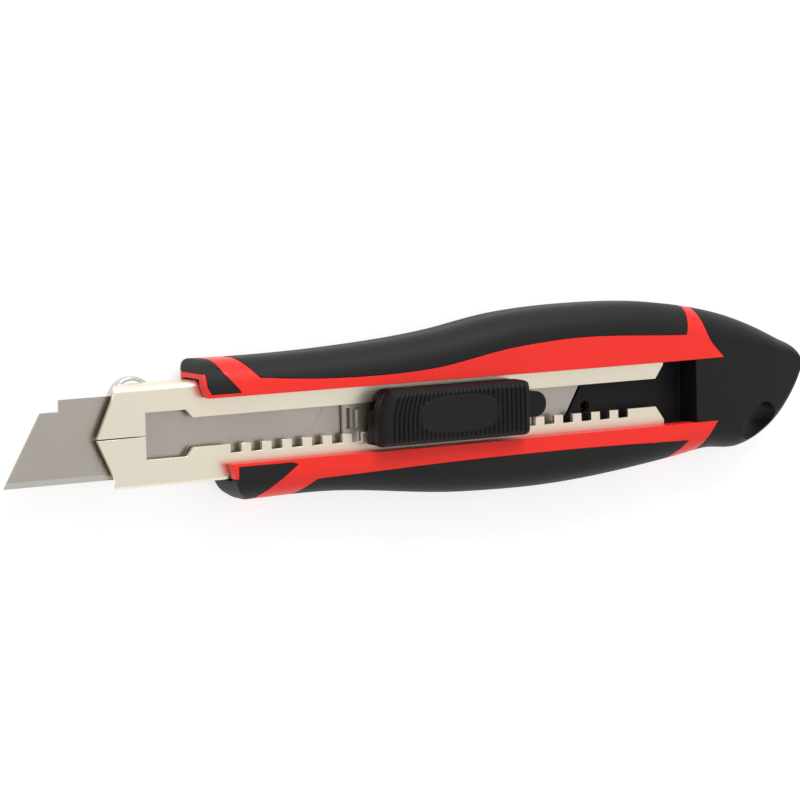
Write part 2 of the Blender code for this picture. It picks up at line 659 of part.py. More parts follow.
def make_blade(name, tip, z_back, steel, drilled):
    """A segmented blade: a slanted strip with its lower edge ground on both faces."""
    half = BLADE_WIDTH / 2
    middle = z_back + BLADE_THICKNESS / 2
    slope = 1 / math.tan(BLADE_ANGLE)
    rows = [(-half, EDGE_THICKNESS), (-half + BEVEL_WIDTH, BLADE_THICKNESS), (half, BLADE_THICKNESS)]
    points = []
    for y, thickness in rows:
        start = tip + (y + half) * slope
        for x in (start, start + BLADE_LENGTH):
            points += [(x, y, middle - thickness / 2), (x, y, middle + thickness / 2)]
    faces = []
    for low in (0, 4):
        high = low + 4
        faces += [
            (low, high, high + 2, low + 2), (low + 1, low + 3, high + 3, high + 1),
            (low, low + 1, high + 1, high), (low + 2, high + 2, high + 3, low + 3),
        ]
    faces += [(0, 2, 3, 1), (8, 9, 11, 10)]
    blade = solid(name, points, faces)
    notch_length, notch_depth = CORNER_NOTCH
    edge = tip + (BLADE_WIDTH - notch_depth) * slope
    boolean(blade, box(
        name + "_notch", edge - THROUGH, edge + notch_length, half - notch_depth, half + THROUGH,
        middle - THROUGH / 4, middle + THROUGH / 4,
    ))
    if drilled:
        levels = [(BLADE_HOLE_RADIUS, middle - THROUGH / 4), (BLADE_HOLE_RADIUS, middle + THROUGH / 4)]
        boolean(blade, pin(name + "_hole", *BLADE_HOLE, levels))
    blade.data.materials.append(steel)
    return blade


def make_spare_blades(steel):
    for i in range(SPARE_BLADES):
        place = SPARE_END - BLADE_LENGTH, SPARES + i * SPARE_STEP
        make_blade(f"spare_blade_{i + 1}", *place, steel, drilled=False)


def make_magazine_spring(steel):
    """A bowed leaf spring between the channel's back and the spare blades."""
    middle = SPARE_END - BLADE_LENGTH / 2
    half = SPRING_WIDTH / 2
    steps = 16
    path = []
    for i in range(steps + 1):
        share = 2 * i / steps - 1
        path.append((middle + share * SPRING_LENGTH / 2, MAGAZINE + SPRING_RISE * (1 - share * share)))
    loop = path + [(x, z + SPRING_THICKNESS) for x, z in reversed(path)]
    count = len(loop)
    points = [(x, -half, z) for x, z in loop] + [(x, half, z) for x, z in loop]
    faces = [((i + 1) % count, i, count + i, count + (i + 1) % count) for i in range(count)]
    faces += [(i, i + 1, count - 2 - i, count - 1 - i) for i in range(steps)]
    faces += [(count + i + 1, count + i, 2 * count - 1 - i, 2 * count - 2 - i) for i in range(steps)]
    solid("magazine_spring", points, faces).data.materials.append(steel)


def carrier_pins():
    """Where the slider is riveted to the carrier."""
    return [SLIDER_FRONT + share * SLIDER_LENGTH for share in SLIDER_PINS]


def make_carrier(steel):
    """The plate that carries the blade behind the channel's lips, with a tab bent up before the slider."""
    half = BLADE_WIDTH / 2 - CARRIER_SIDE_ROOM
    rear = CARRIER_FRONT + CARRIER_LENGTH
    top = CARRIER_BACK + CARRIER_THICKNESS
    corners = [(CARRIER_FRONT, -half), (rear, -half), (rear, half), (CARRIER_FRONT, half)]
    carrier = prism("blade_carrier", rounded(corners, 1.0 * MM, 3), CARRIER_BACK, top)
    tab = CARRIER_FRONT + TAB_FROM_FRONT
    tab_half = TAB_WIDTH / 2
    for name, start in (("tab_slit_front", tab - TAB_SLIT), ("tab_slit_rear", tab + TAB_SLIT)):
        slit = box(name, start, start + TAB_SLIT, -tab_half, tab_half, CARRIER_BACK - GAP / 2, top + GAP / 2)
        boolean(carrier, slit)
    inset_tab = tab_half - GAP
    boolean(carrier, box(
        "carrier_tab", tab + TAB_SLIT - CARRIER_THICKNESS, tab + TAB_SLIT, -inset_tab, inset_tab,
        top - CARRIER_THICKNESS / 2, top + TAB_HEIGHT,
    ), "UNION")
    hole = PIN_RADIUS + GAP
    for i, (x, y) in enumerate([BLADE_HOLE] + [(x, 0.0) for x in carrier_pins()]):
        levels = [(hole, CARRIER_BACK - GAP / 2), (hole, top + GAP / 2)]
        boolean(carrier, pin(f"carrier_hole_{i}", x, y, levels))
    carrier.data.materials.append(steel)
    blade_pin = pin("blade_pin", *BLADE_HOLE, [(PIN_RADIUS, BLADE_BACK), (PIN_RADIUS, top)])
    blade_pin.data.materials.append(steel)
    rivets = []
    for name, x in zip(("carrier_rivet_front", "carrier_rivet_rear"), carrier_pins()):
        levels = [(PIN_RADIUS, CARRIER_BACK + 0.1 * MM), (PIN_RADIUS, RAIL_BACK + SLIDER_BASE - 0.6 * MM)]
        rivets.append(pin(name, x, 0.0, levels))
        rivets[-1].data.materials.append(steel)
    return [carrier, blade_pin, *rivets]


def slider_outline():
    """The slider from above: its upper front corner is swept back in a long curve."""
    half = SLIDER_WIDTH / 2
    front_corner, rear_corner = SLIDER_CORNERS
    corners = [
        (SLIDER_FRONT, -half, front_corner, front_corner, 2), (SLIDER_REAR, -half, rear_corner, rear_corner, 3),
        (SLIDER_REAR, half, rear_corner, rear_corner, 0), (SLIDER_FRONT, half, *SLIDER_SWEEP, 1),
    ]
    outline = []
    for x, y, along, across, quarter in corners:
        centre_x, centre_y = x - math.copysign(along, x - SLIDER_FRONT - along), y - math.copysign(across, y)
        for step in range(ROUND_STEPS + 2):
            turn = math.pi / 2 * (quarter + step / (ROUND_STEPS + 1))
            outline.append((centre_x + along * math.cos(turn), centre_y + across * math.sin(turn)))
    return outline


def make_slider_base(plastic):
    """The slider's foot: a plate on the lips, and a key with a round rear end that runs in the slot."""
    low, high = RAIL_BACK, RAIL_BACK + SLIDER_BASE
    base = prism("slider_base", slider_outline(), low, high)
    rear = SLIDER_REAR + LUG_BEHIND_SLIDER
    front = PAWL + PAWL_WIDTH / 2 + PAWL_SPRING_LENGTH + 2 * GAP
    key = [(front, -KEY_HALF), (rear, -KEY_HALF), (rear, KEY_HALF), (front, KEY_HALF)]
    key = prism("slider_key", rounded(key, KEY_HALF - 0.2 * MM, 5), LIP_BACK, low + SLIDER_BASE / 2)
    boolean(base, key, "UNION")
    pocket_front = PAWL - PAWL_WIDTH / 2 - GAP
    pocket_rear = front - 0.2 * MM
    pocket_end = TOOTH_END - PAWL_PLATE_LAP - 2 * GAP
    boolean(base, box(
        "pawl_pocket", pocket_front, pocket_rear, pocket_end, KEY_HALF + 4 * GAP, low - GAP,
        low + PAWL_THICKNESS + GAP,
    ))
    hole = PIN_RADIUS + GAP
    for i, x in enumerate(carrier_pins()):
        levels = [(hole, LIP_BACK - GAP), (hole, high - 0.3 * MM)]
        boolean(base, pin(f"base_hole_{i}", x, 0.0, levels))
    base.data.materials.append(plastic)
    return base


def make_thumb_piece(rubber):
    """The ribbed thumb piece, with a smooth panel in its middle."""
    half = SLIDER_WIDTH / 2
    top = THUMB_BACK + THUMB_HEIGHT
    thumb = pillow("slider_thumb_piece", slider_outline(), THUMB_BACK, top, EDGE_BREAK, THUMB_ROUND)
    middle = (SLIDER_FRONT + SLIDER_REAR) / 2
    wide, deep = RIB_GROOVE
    count = int((SLIDER_LENGTH / 2 - 2 * RIB_PITCH) / RIB_PITCH)
    for i in range(-count, count + 1):
        x = middle + i * RIB_PITCH
        sides = [(-half - THROUGH, half + THROUGH)]
        if abs(i * RIB_PITCH) < PANEL_LENGTH / 2:
            sides = [(-half - THROUGH, -half + PANEL_EDGE), (half - PANEL_EDGE, half + THROUGH)]
        for j, (low, high) in enumerate(sides):
            place = x - wide / 2, x + wide / 2, low, high, top - deep, top + THROUGH
            boolean(thumb, box(f"groove_{i + count}_{j}", *place))
    thumb.data.materials.append(rubber)
    return thumb


def make_pawl(steel):
    """The sliding pawl: a small plate under the slider, with a tooth that drops into a notch."""
    half = PAWL_WIDTH / 2
    low = RAIL_BACK
    tooth_half = NOTCH_WIDTH / 2 - GAP
    end = TOOTH_END - PAWL_PLATE_LAP
    plate = [(PAWL - half, end), (PAWL + half, end), (PAWL + half, PAWL_BACK), (PAWL - half, PAWL_BACK)]
    pawl = prism("lock_pawl", rounded(plate, 0.5 * MM, 2), low, low + PAWL_THICKNESS)
    tooth = box(
        "pawl_tooth", PAWL - tooth_half, PAWL + tooth_half, TOOTH_END, TOOTH_END + PAWL_THICKNESS,
        LIP_BACK + PAWL_PLATE_LAP, low + PAWL_THICKNESS / 2,
    )
    boolean(pawl, tooth, "UNION")
    pawl.data.materials.append(steel)
    return pawl


def make_pawl_spring(steel):
    """A leaf spring that presses the pawl into its notch."""
    start = Vector((PAWL - PAWL_WIDTH / 4, PAWL_BACK + GAP))
    end = Vector((PAWL + PAWL_WIDTH / 2 + PAWL_SPRING_LENGTH - GAP, KEY_HALF + 0.4 * MM))
    third = Vector((PAWL_SPRING_LENGTH / 3, 0))
    path = interpolate_bezier(start.to_3d(), (start + third).to_3d(), (end - third).to_3d(), end.to_3d(), 13)
    thick = Vector((0, PAWL_SPRING_THICKNESS, 0))
    loop = [point for point in path] + [point + thick for point in reversed(path)]
    low, high = RAIL_BACK + 0.1 * MM, RAIL_BACK + PAWL_THICKNESS - 0.1 * MM
    spring = prism("pawl_spring", [(point.x, point.y) for point in loop], low, high)
    spring.data.materials.append(steel)
    return spring


def make_cap(plastic):
    """The end cap: it closes the magazine with a tongue, and takes a lanyard."""
    cap = handle_form("end_cap")
    boolean(cap, prism("cap_region", cap_boundary(GAP), -THROUGH, ABOVE), "INTERSECT")
    front = CHANNEL_REAR + GAP
    step = CHANNEL_REAR + STEP_BEHIND_CHANNEL
    plug_rear = CHANNEL_REAR + UPPER_TIP_BEHIND_CHANNEL + THROUGH
    side, half = CHANNEL_HALF - GAP, RAIL_HALF - GAP
    plug = box("cap_plug", front, plug_rear, -half, half, CHANNEL_BACK, LIP_FRONT)
    spigot = box("cap_spigot", front, plug_rear, -side, side, CHANNEL_BACK + GAP, LIP_BACK)
    boolean(plug, spigot, "UNION")
    boolean(cap, plug, "UNION")
    tongue_half = TONGUE_HEIGHT / 2
    tongue_front = CHANNEL_REAR - TONGUE_LENGTH
    slope = 1 / math.tan(BLADE_ANGLE)
    lower = tongue_front + (BLADE_WIDTH / 2 - tongue_half) * slope
    upper = tongue_front + (BLADE_WIDTH / 2 + tongue_half) * slope
    rear = CHANNEL_REAR + PLUG_LENGTH / 2
    tongue_top = SPARES + SPARE_BLADES * SPARE_STEP - GAP
    corners = [(lower, -tongue_half), (rear, -tongue_half), (rear, tongue_half), (upper, tongue_half)]
    boolean(cap, prism("cap_tongue", corners, SPARES, tongue_top), "UNION")
    boolean(cap, box("cap_trough", CHANNEL_REAR - THROUGH, step, -RAIL_HALF, RAIL_HALF, tongue_top, ABOVE))
    along, across = TONGUE_HOLE
    levels = [(TONGUE_HOLE_RADIUS, SPARES - THROUGH / 2), (TONGUE_HOLE_RADIUS, LIP_BACK)]
    boolean(cap, pin("tongue_hole", tongue_front + along, across, levels))
    boolean(cap, lanyard_cutter())
    cap.data.materials.append(plastic)
    return cap


def lanyard_cutter():
    """An oval hole from front to back, near the cap's lower corner."""
    from_end, y = LANYARD_FROM_END
    centre = Vector((HANDLE_END - from_end, y))
    length, width = LANYARD_HOLE
    radius = width / 2
    along = length / 2 - radius
    outline = []
    for end in (1, -1):
        for step in range(9):
            turn = LANYARD_TILT + math.pi / 2 * (-end) + math.pi * step / 8
            middle = centre + Vector((math.cos(LANYARD_TILT), math.sin(LANYARD_TILT))) * along * end
            outline.append((middle.x + radius * math.cos(turn), middle.y + radius * math.sin(turn)))
    return prism("lanyard_hole", outline, -THROUGH, ABOVE)


def ride(name, place, pieces):
    """Hangs pieces on an empty that stands on their joint's axis."""
    axis = bpy.data.objects.new(name, None)
    axis.location = place
    axis.empty_display_size = 5 * MM
    bpy.context.scene.collection.objects.link(axis)
    for piece in pieces:
        piece.parent = axis
        piece.location = -Vector(place)


def build():
    clear_scene()
    red = finish("red_plastic", (0.80, 0.035, 0.028), 0.35)
    soft_black = finish("soft_black", (0.028, 0.030, 0.028), 0.6)
    black = finish("black_plastic", (0.02, 0.02, 0.021), 0.45)
    nickel = finish("nickel_steel", (0.72, 0.66, 0.52), 0.28, 1.0)
    blade_steel = finish("blade_steel", (0.45, 0.41, 0.36), 0.35, 1.0)
    bright = finish("bright_steel", (0.6, 0.6, 0.58), 0.25, 1.0)

    make_core(red)
    make_grips(soft_black)
    make_channel(nickel)
    make_channel_rivets(bright)
    make_nose_ring(bright)
    make_spare_blades(blade_steel)
    make_magazine_spring(bright)

    blade = make_blade("blade", BLADE_TIP, BLADE_BACK, blade_steel, drilled=True)
    carriage = [blade, *make_carrier(bright), make_slider_base(black), make_thumb_piece(soft_black)]
    carriage.append(make_pawl_spring(bright))
    ride("slider_axis", (SLIDER_FRONT, 0.0, RAIL_BACK), carriage)
    ride("pawl_axis", (PAWL, -SLOT_HEIGHT / 2, RAIL_BACK), [make_pawl(bright)])
    ride("cap_axis", (CHANNEL_REAR, 0.0, SPARES), [make_cap(black)])


build()
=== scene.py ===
import math

import bpy
import numpy as np
from mathutils import Matrix, Vector
from mathutils.geometry import interpolate_bezier


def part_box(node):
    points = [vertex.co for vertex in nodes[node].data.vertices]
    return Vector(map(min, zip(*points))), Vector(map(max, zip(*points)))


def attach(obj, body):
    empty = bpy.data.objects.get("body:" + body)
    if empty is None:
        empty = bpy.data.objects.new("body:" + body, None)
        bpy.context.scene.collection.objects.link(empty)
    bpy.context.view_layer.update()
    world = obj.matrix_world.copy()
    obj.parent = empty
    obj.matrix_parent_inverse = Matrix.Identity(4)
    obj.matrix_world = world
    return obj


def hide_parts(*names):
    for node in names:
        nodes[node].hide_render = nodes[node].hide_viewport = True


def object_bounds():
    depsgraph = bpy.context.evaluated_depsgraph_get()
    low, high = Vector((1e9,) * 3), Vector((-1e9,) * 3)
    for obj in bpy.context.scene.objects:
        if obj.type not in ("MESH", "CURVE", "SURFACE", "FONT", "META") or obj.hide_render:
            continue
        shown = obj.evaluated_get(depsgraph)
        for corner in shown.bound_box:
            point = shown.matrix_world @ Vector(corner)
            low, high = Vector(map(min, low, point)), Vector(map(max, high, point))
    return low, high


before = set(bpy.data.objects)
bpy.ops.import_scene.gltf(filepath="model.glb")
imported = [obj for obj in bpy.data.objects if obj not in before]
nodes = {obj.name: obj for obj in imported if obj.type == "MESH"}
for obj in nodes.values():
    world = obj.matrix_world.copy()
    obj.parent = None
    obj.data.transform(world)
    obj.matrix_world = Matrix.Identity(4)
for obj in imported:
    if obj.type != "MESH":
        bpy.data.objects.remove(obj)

cad_box = [list(corner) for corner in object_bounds()]


# Guide channel. A strip of nickel-plated steel is folded into a C, its lips meet in a seam at the nose, and the nose
# is cropped to a point. A window, a slot and a row of notches for the lock are stamped through the lips. It lies in
# the handle's trough, held by two rivets.
MM = 0.001
low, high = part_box("guide_channel")
nose, channel_rear, channel_half = low.x, high.x, high.y
channel_back, lip_front = low.z, high.z
sheet = 1.0 * MM
lip_back = lip_front - sheet
bend = 1.6 * MM
seam = 0.25 * MM
nose_corner = nose + 4.3 * MM
window_front, window_rear = nose + 11.5 * MM, nose + 22.8 * MM
window_half, window_chamfer = 5.05 * MM, 1.6 * MM
slot_half = 3.2 * MM
first_notch, notch_pitch, notch_width, notch_depth = window_rear + 11.5 * MM, 5 * MM, 2.6 * MM, 1.9 * MM
flare_along, flare_out = 2.2 * MM, 3.1 * MM
past = 2 * MM


def solid(name, points, faces):
    mesh = bpy.data.meshes.new(name)
    mesh.from_pydata([tuple(point) for point in points], [], faces)
    mesh.shade_smooth()
    made = bpy.data.objects.new(name, mesh)
    bpy.context.scene.collection.objects.link(made)
    return made


def loft(name, rings, across=False):
    """A closed solid through rings of equal length, each anticlockwise from above, with the lowest first."""
    count = len(rings[0])
    points = [point for ring in rings for point in ring]
    faces = [
        (level + i, level + (i + 1) % count, level + count + (i + 1) % count, level + count + i)
        for level in range(0, len(points) - count, count) for i in range(count)
    ]
    top = len(points) - count
    if not across:
        return solid(name, points, faces + [[top + i for i in range(count)], [count - 1 - i for i in range(count)]])
    for i in range((count - 1) // 2):
        strip = list(dict.fromkeys([i, i + 1, count - 2 - i, count - 1 - i]))
        faces += [[top + k for k in strip], strip[::-1]]
    return solid(name, points, faces)


def prism(name, outline, z_low, z_high):
    return loft(name, [[(x, y, z) for x, y in outline] for z in (z_low, z_high)])


def block(name, x_low, x_high, y_low, y_high, z_low, z_high):
    return prism(name, [(x_low, y_low), (x_high, y_low), (x_high, y_high), (x_low, y_high)], z_low, z_high)


def circle(x, y, radius, sides=64):
    turns = [2 * math.pi * i / sides for i in range(sides)]
    return [(x + radius * math.cos(turn), y + radius * math.sin(turn)) for turn in turns]


def shape(body, join=(), keep=(), cut=(), edge=0.12 * MM, angle=32, merge=0.0):
    """Joins, keeps and cuts solids, merges close corners, breaks the sharp edges, and leaves one plain mesh."""
    tools = []
    for operation, given in (("UNION", join), ("INTERSECT", keep), ("DIFFERENCE", cut)):
        for tool in given:
            change = body.modifiers.new(tool.name, "BOOLEAN")
            change.operation, change.solver, change.object = operation, "MANIFOLD", tool
            tools.append(tool)
    if merge:
        body.modifiers.new("merged_corners", "WELD").merge_threshold = merge
    if edge:
        broken = body.modifiers.new("broken_edges", "BEVEL")
        broken.width, broken.segments, broken.limit_method = edge, 2, "ANGLE"
        broken.angle_limit = math.radians(angle)
        broken.use_clamp_overlap = False
        broken.miter_outer = "MITER_ARC"
    even = body.modifiers.new("even_shading", "WEIGHTED_NORMAL")
    even.keep_sharp = True
    even.weight = 80
    bpy.context.view_layer.update()
    body.data = bpy.data.meshes.new_from_object(body.evaluated_get(bpy.context.evaluated_depsgraph_get()))
    body.modifiers.clear()
    for tool in tools:
        bpy.data.objects.remove(tool)
    return body


def surface_marks():
    """Slow patches of shade, and a fine grain that may be drawn out along the piece."""
    group = bpy.data.node_groups.new("surface_marks", "ShaderNodeTree")
    sockets = (
        ("Colour", "NodeSocketColor"), ("Roughness", "NodeSocketFloat"), ("Patch Scale", "NodeSocketFloat"),
        ("Patch Shade", "NodeSocketFloat"), ("Grain Scale", "NodeSocketVector"), ("Grain Shade", "NodeSocketFloat"),
        ("Grain Gloss", "NodeSocketFloat"), ("Grain Depth", "NodeSocketFloat"),
    )
    for name, kind in sockets:
        group.interface.new_socket(name, in_out="INPUT", socket_type=kind)
    for name, kind in (
        ("Colour", "NodeSocketColor"), ("Roughness", "NodeSocketFloat"), ("Normal", "NodeSocketVector"),
    ):
        group.interface.new_socket(name, in_out="OUTPUT", socket_type=kind)
    made, link = group.nodes.new, group.links.new
    given, out, place = made("NodeGroupInput"), made("NodeGroupOutput"), made("ShaderNodeTexCoord")
    stretch = made("ShaderNodeVectorMath")
    stretch.operation = "MULTIPLY"
    link(place.outputs["Object"], stretch.inputs[0])
    link(given.outputs["Grain Scale"], stretch.inputs[1])
    grain, patch = made("ShaderNodeTexNoise"), made("ShaderNodeTexNoise")
    grain.inputs["Scale"].default_value, grain.inputs["Detail"].default_value = 1.0, 4.0
    patch.inputs["Detail"].default_value = 3.0
    link(stretch.outputs[0], grain.inputs["Vector"])
    link(place.outputs["Object"], patch.inputs["Vector"])
    link(given.outputs["Patch Scale"], patch.inputs["Scale"])

    def spread(source, amount, base):
        """The base value, moved up and down by a noise round its middle."""
        centred, scaled = made("ShaderNodeMath"), made("ShaderNodeMath")
        centred.operation, scaled.operation = "SUBTRACT", "MULTIPLY_ADD"
        centred.inputs[1].default_value = 0.5
        link(source, centred.inputs[0])
        link(centred.outputs[0], scaled.inputs[0])
        link(amount, scaled.inputs[1])
        if isinstance(base, float):
            scaled.inputs[2].default_value = base
        else:
            link(base, scaled.inputs[2])
        return scaled.outputs[0]

    shade = spread(patch.outputs["Fac"], given.outputs["Patch Shade"], 1.0)
    shade = spread(grain.outputs["Fac"], given.outputs["Grain Shade"], shade)
    tint = made("ShaderNodeVectorMath")
    tint.operation = "SCALE"
    link(given.outputs["Colour"], tint.inputs[0])
    link(shade, tint.inputs["Scale"])
    link(tint.outputs[0], out.inputs["Colour"])
    gloss = spread(grain.outputs["Fac"], given.outputs["Grain Gloss"], given.outputs["Roughness"])
    link(gloss, out.inputs["Roughness"])
    bump = made("ShaderNodeBump")
    bump.inputs["Strength"].default_value = 1.0
    link(given.outputs["Grain Depth"], bump.inputs["Distance"])
    link(grain.outputs["Fac"], bump.inputs["Height"])
    link(bump.outputs["Normal"], out.inputs["Normal"])
    return group


marks = surface_marks()


def finish(name, colour, roughness, patch=(30, 0.1), grain=(9000, 9000, 9000), shade=0.1, gloss=0.1, depth=0.0,
           **shader_values):
    """A finish with the shared surface marks; other values go on the shader's own sockets."""
    material = bpy.data.materials.new(name)
    material.use_nodes = True
    tree = material.node_tree
    shader = tree.nodes["Principled BSDF"]
    group = tree.nodes.new("ShaderNodeGroup")
    group.node_tree = marks
    values = {
        "Colour": (*colour, 1.0), "Roughness": roughness, "Patch Scale": patch[0], "Patch Shade": patch[1],
        "Grain Scale": grain, "Grain Shade": shade, "Grain Gloss": gloss, "Grain Depth": depth,
    }
    for socket, value in values.items():
        group.inputs[socket].default_value = value
    tree.links.new(group.outputs["Colour"], shader.inputs["Base Color"])
    tree.links.new(group.outputs["Roughness"], shader.inputs["Roughness"])
    tree.links.new(group.outputs["Normal"], shader.inputs["Normal"])
    for socket, value in shader_values.items():
        shader.inputs[socket.replace("_", " ")].default_value = value
    return material


def fit(piece, node, body, material=None):
    """The piece stands for its CAD node and moves with that body; its finer curves stay in the CAD's outer box."""
    for vertex in piece.data.vertices:
        vertex.co = np.clip(vertex.co, *cad_box)
    if material:
        piece.data.materials.clear()
        piece.data.materials.append(material)
    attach(piece, body)
    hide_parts(node)
    return piece


def channel_section(steps=10):
    """The sheet across X, anticlockwise seen from the rear, from one lip round the back to the other."""
    def arcs(half, z_low, z_high, radius):
        for y, z, quarter in ((half, z_high, 0), (half, z_low, -1), (-half, z_low, -2), (-half, z_high, -3)):
            cy, cz = y - math.copysign(radius, y), z - radius if z == z_high else z + radius
            for step in range(steps + 1):
                angle = math.pi / 2 * (1 + quarter) - math.pi / 2 * step / steps
                yield cy + radius * math.cos(angle), cz + radius * math.sin(angle)
    outer = list(arcs(channel_half, channel_back, lip_front, bend))
    inner = list(arcs(channel_half - sheet, channel_back + sheet, lip_back, bend - sheet))
    half = seam / 2
    return [(half, lip_front), *outer, (-half, lip_front), (-half, lip_back), *inner[::-1], (half, lip_back)]


def make_channel():
    section = channel_section()
    count = len(section)
    points = [(x, y, z) for x in (nose, channel_rear) for y, z in section]
    faces = [(i, count + i, count + (i + 1) % count, (i + 1) % count) for i in range(count)]
    faces += [list(range(count)), [2 * count - 1 - i for i in range(count)]]
    channel = solid("folded_channel", points, faces)
    cuts = []
    flat = channel_half - bend
    for side in (1, -1):
        corners = [(nose - past, 0), (nose - 0.03 * MM, 0), (nose_corner, flat), (nose_corner, channel_half + past),
                   (nose - past, channel_half + past)]
        cuts.append(prism("nose_crop", [(x, side * y) for x, y in corners][::side], 0, lip_front + past))
    receding = [(nose - past, lip_back - 0.15 * MM), (nose - past, channel_back - MM),
                (nose_corner + 6.3 * MM, channel_back - MM), (nose_corner + 0.1 * MM, lip_back - 0.15 * MM)]
    wide = channel_half + past
    cuts.append(solid("nose_relief", [(x, y, z) for y in (-wide, wide) for x, z in receding],
                      [(0, 1, 2, 3), (7, 6, 5, 4), (4, 5, 1, 0), (5, 6, 2, 1), (6, 7, 3, 2), (7, 4, 0, 3)]))
    outline = [(window_front, -window_half), (window_rear - window_chamfer, -window_half), (window_rear, -slot_half)]
    for i in range(int((channel_rear - 8 * MM - first_notch) / notch_pitch) + 1):
        wall, deep = first_notch + i * notch_pitch, -slot_half - notch_depth
        outline += [(wall - notch_width, -slot_half), (wall - notch_width, deep), (wall, deep), (wall, -slot_half)]
    wide = slot_half + flare_out
    outline += [
        (channel_rear - flare_along, -slot_half), (channel_rear, -wide), (channel_rear + past, -wide),
        (channel_rear + past, wide), (channel_rear, wide), (channel_rear - flare_along, slot_half),
        (window_rear, slot_half), (window_rear - window_chamfer, window_half), (window_front, window_half),
    ]
    cuts.append(prism("slot", outline, lip_back - 0.15 * MM, lip_front + past))
    return shape(channel, cut=cuts, edge=0.1 * MM)


nickel = finish("nickel_sheet", (0.86, 0.79, 0.65), 0.34, patch=(45, 0.10), grain=(250, 7000, 7000), shade=0.06,
                gloss=0.18, depth=0.004 * MM, Metallic=1.0)
fit(make_channel(), "guide_channel", "handle", nickel)


# Channel rivets, ring rivet and pins. Each is turned from bright steel wire and headed; the rivets go in from the
# handle's flat back and hold the channel, and the pins join the blade, its carrier and the slider.
bright = finish("bright_steel", (0.62, 0.62, 0.60), 0.24, patch=(120, 0.12), grain=(2500, 2500, 2500), shade=0.06,
                gloss=0.15, depth=0.003 * MM, Metallic=1.0)


def turned(name, node, body, profile, material=bright):
    """A turned pin from (radius, height) pairs above the node's lowest point, as shares of its size."""
    low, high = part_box(node)
    x, y = (low.x + high.x) / 2, (low.y + high.y) / 2
    widest, tall = (high.x - low.x) / 2, high.z - low.z
    rings = [
        [(px, py, low.z + share * tall) for px, py in circle(x, y, radius * widest)] for radius, share in profile
    ]
    return fit(shape(loft(name, rings), edge=0), node, body, material)


head_share = 0.24
rivet_profile = [(0.55, 0), (0.8, 0.01), (0.93, 0.035), (1.0, 0.09), (1.0, head_share - 0.02), (0.97, head_share),
                 (0.5, head_share), (0.5, 0.97), (0.46, 1.0)]
for end in ("front", "rear"):
    turned("channel_rivet_turned_" + end, "channel_rivet_" + end, "handle", rivet_profile)
ring_rivet_profile = [
    (0.55, 0), (0.8, 0.02), (0.95, 0.08), (1.0, 0.16), (1.0, 0.32), (0.62, 0.34), (0.62, 0.97), (0.58, 1),
]
turned("ring_rivet_turned", "nose_ring_rivet", "handle", ring_rivet_profile)
pin_profile = [(0.9, 0), (1.0, 0.04), (1.0, 0.96), (0.9, 1.0)]
for node in ("blade_pin", "carrier_rivet_front", "carrier_rivet_rear"):
    turned(node + "_turned", node, "slider", pin_profile)


# Nose ring. A thin steel ring with a flat foot, pressed from one strip and riveted behind the nose, so that only its
# upper arc shows beside the channel.
def make_nose_ring():
    low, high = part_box("nose_ring")
    radius = (high.x - low.x) / 2
    x, y = (low.x + high.x) / 2, high.y - radius
    wall, lip = 0.9 * MM, 0.25 * MM
    outer = [(radius - lip, low.z), (radius, low.z + lip), (radius, high.z - lip), (radius - lip, high.z)]
    inner = [(radius - wall + lip, high.z), (radius - wall, high.z - lip), (radius - wall, low.z + lip),
             (radius - wall + lip, low.z)]
    profile = outer + inner
    sides, count = 96, len(profile)
    points, faces = [], []
    for i in range(sides):
        turn = 2 * math.pi * i / sides
        points += [(x + r * math.cos(turn), y + r * math.sin(turn), z) for r, z in profile]
        for k in range(count):
            here, on, next_k = i * count, (i + 1) % sides * count, (k + 1) % count
            faces.append((here + k, on + k, on + next_k, here + next_k))
    ring = solid("pressed_nose_ring", points, faces)
    rivet_low, rivet_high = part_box("nose_ring_rivet")
    rivet_y = (rivet_low.y + rivet_high.y) / 2
    half = 3.2 * MM
    foot = block("foot", x - half, x + half, low.y, y - radius + 1.5 * wall, high.z - wall, high.z)
    bore = prism("foot_bore", circle(x, y, radius - wall), low.z, high.z + past)
    hole = prism("rivet_hole", circle(x, rivet_y, 1.8 * MM), low.z - past, high.z + past)
    foot = shape(foot, cut=[bore, hole], edge=0)
    return shape(ring, join=[foot], edge=0.08 * MM)


fit(make_nose_ring(), "nose_ring", "handle", bright)


# Blade and spares. Each is a 100 mm strip of hardened steel, cut on a slant, scored every 10 mm so that worn points
# snap off, and ground to an edge along its lower side.
blade_slant = 1 / math.tan(math.radians(60))
blade_half, blade_length, blade_thick = 9 * MM, 100 * MM, 0.5 * MM
score_pitch, score_width, score_depth = 10 * MM, 0.22 * MM, 0.09 * MM
ground_width, keen = 1.3 * MM, 0.08 * MM

blade_steel = finish("blade_steel", (0.46, 0.425, 0.38), 0.36, patch=(70, 0.22), grain=(180, 6000, 6000), shade=0.1,
                     gloss=0.2, depth=0.004 * MM, Metallic=1.0)
ground_steel = finish("ground_edge", (0.56, 0.54, 0.51), 0.28, patch=(90, 0.1), grain=(6000, 500, 6000), shade=0.12,
                      gloss=0.2, depth=0.003 * MM, Metallic=1.0)


